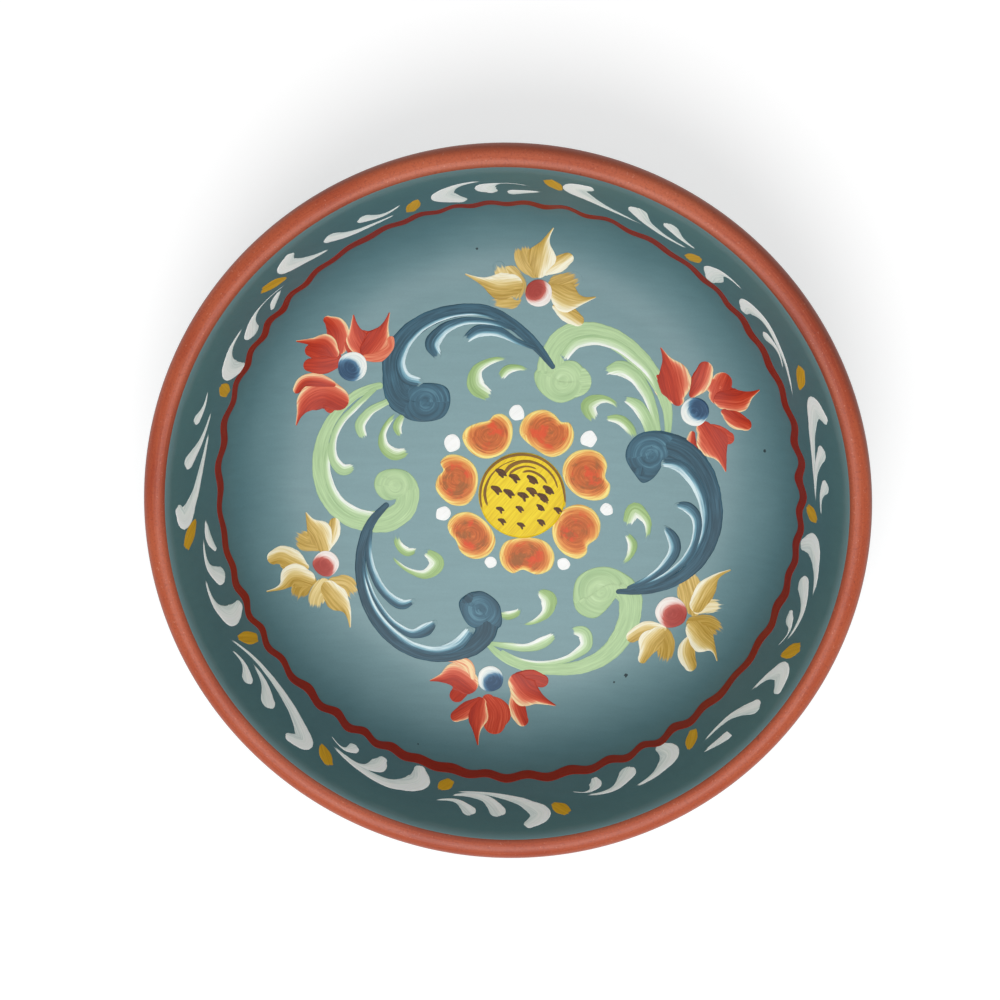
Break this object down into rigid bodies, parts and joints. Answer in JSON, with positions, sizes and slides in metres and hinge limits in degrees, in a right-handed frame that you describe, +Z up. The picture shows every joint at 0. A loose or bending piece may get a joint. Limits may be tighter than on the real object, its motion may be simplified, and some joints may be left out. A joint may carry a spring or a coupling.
{
  "type": "painted wooden bowl",
  "caption": "Shallow turned wooden bowl on a low foot ring, painted inside with traditional scrolls, blossoms and a leaf border, with a round red lip.",
  "frame": {"origin": "centre of the foot ring's bottom face, under the middle of the bowl", "axes": "+Z up along the bowl's axis of turning; -Y is the side nearest the viewer in the picture"},
  "size_m": [0.2546, 0.2546, 0.0653],
  "materials": {
    "wood": "bare turned wood under clear varnish",
    "ground_paint": "satin blue-grey oil paint, darker towards the wall",
    "rim_paint": "satin red-brown oil paint",
    "outside_paint": "satin dark blue-grey oil paint",
    "line_paint": "satin dark red oil paint",
    "yellow_paint": "satin yellow oil paint with brown strokes over it",
    "petal_paint": "satin orange oil paint, yellow at the edge and red-orange within",
    "blue_paint": "satin blue oil paint with light blue on the inner edge of each stroke",
    "sage_paint": "satin sage green oil paint with white on the inner edge of each stroke",
    "red_paint": "satin red oil paint with a salmon or cream edge",
    "ochre_paint": "satin ochre oil paint with a cream edge",
    "blue_bud_paint": "satin blue oil paint blended into white",
    "red_bud_paint": "satin red oil paint blended into pink and white",
    "white_paint": "satin white oil paint, thin and streaky at the tails"
  },
  "bodies": {
    "root": {"turned_bowl": "wood", "inside_ground_coat": "ground_paint", "rim_coat": "rim_paint", "outside_ground_coat": "outside_paint", "wavy_line": "line_paint", "flower_middle": "yellow_paint", "petal_1": "petal_paint", "petal_2": "petal_paint", "petal_3": "petal_paint", "petal_4": "petal_paint", "petal_5": "petal_paint", "petal_6": "petal_paint", "petal_7": "petal_paint", "blue_scroll_1": "blue_paint", "blue_scroll_2": "blue_paint", "blue_scroll_3": "blue_paint", "green_scroll_1": "sage_paint", "green_scroll_2": "sage_paint", "green_scroll_3": "sage_paint", "red_spray_1_bud": "blue_bud_paint", "red_spray_1a": "red_paint", "red_spray_1b": "red_paint", "red_spray_1c": "red_paint", "red_spray_2_bud": "blue_bud_paint", "red_spray_2a": "red_paint", "red_spray_2b": "red_paint", "red_spray_2c": "red_paint", "red_spray_3_bud": "blue_bud_paint", "red_spray_3a": "red_paint", "red_spray_3b": "red_paint", "red_spray_3c": "red_paint", "ochre_spray_1_bud": "red_bud_paint", "ochre_spray_1a": "ochre_paint", "ochre_spray_1b": "ochre_paint", "ochre_spray_1c": "ochre_paint", "ochre_spray_2_bud": "red_bud_paint", "ochre_spray_2a": "ochre_paint", "ochre_spray_2b": "ochre_paint", "ochre_spray_2c": "ochre_paint", "ochre_spray_3_bud": "red_bud_paint", "ochre_spray_3a": "ochre_paint", "ochre_spray_3b": "ochre_paint", "ochre_spray_3c": "ochre_paint", "comma_1": "white_paint", "comma_2": "white_paint", "comma_3": "white_paint", "comma_4": "white_paint", "comma_5": "white_paint", "comma_6": "white_paint", "comma_7": "white_paint", "hook_1": "white_paint", "hook_2": "white_paint", "hook_3": "white_paint", "hook_4": "white_paint", "hook_5": "white_paint", "hook_6": "white_paint", "hook_7": "white_paint"}
  },
  "joints": []
}
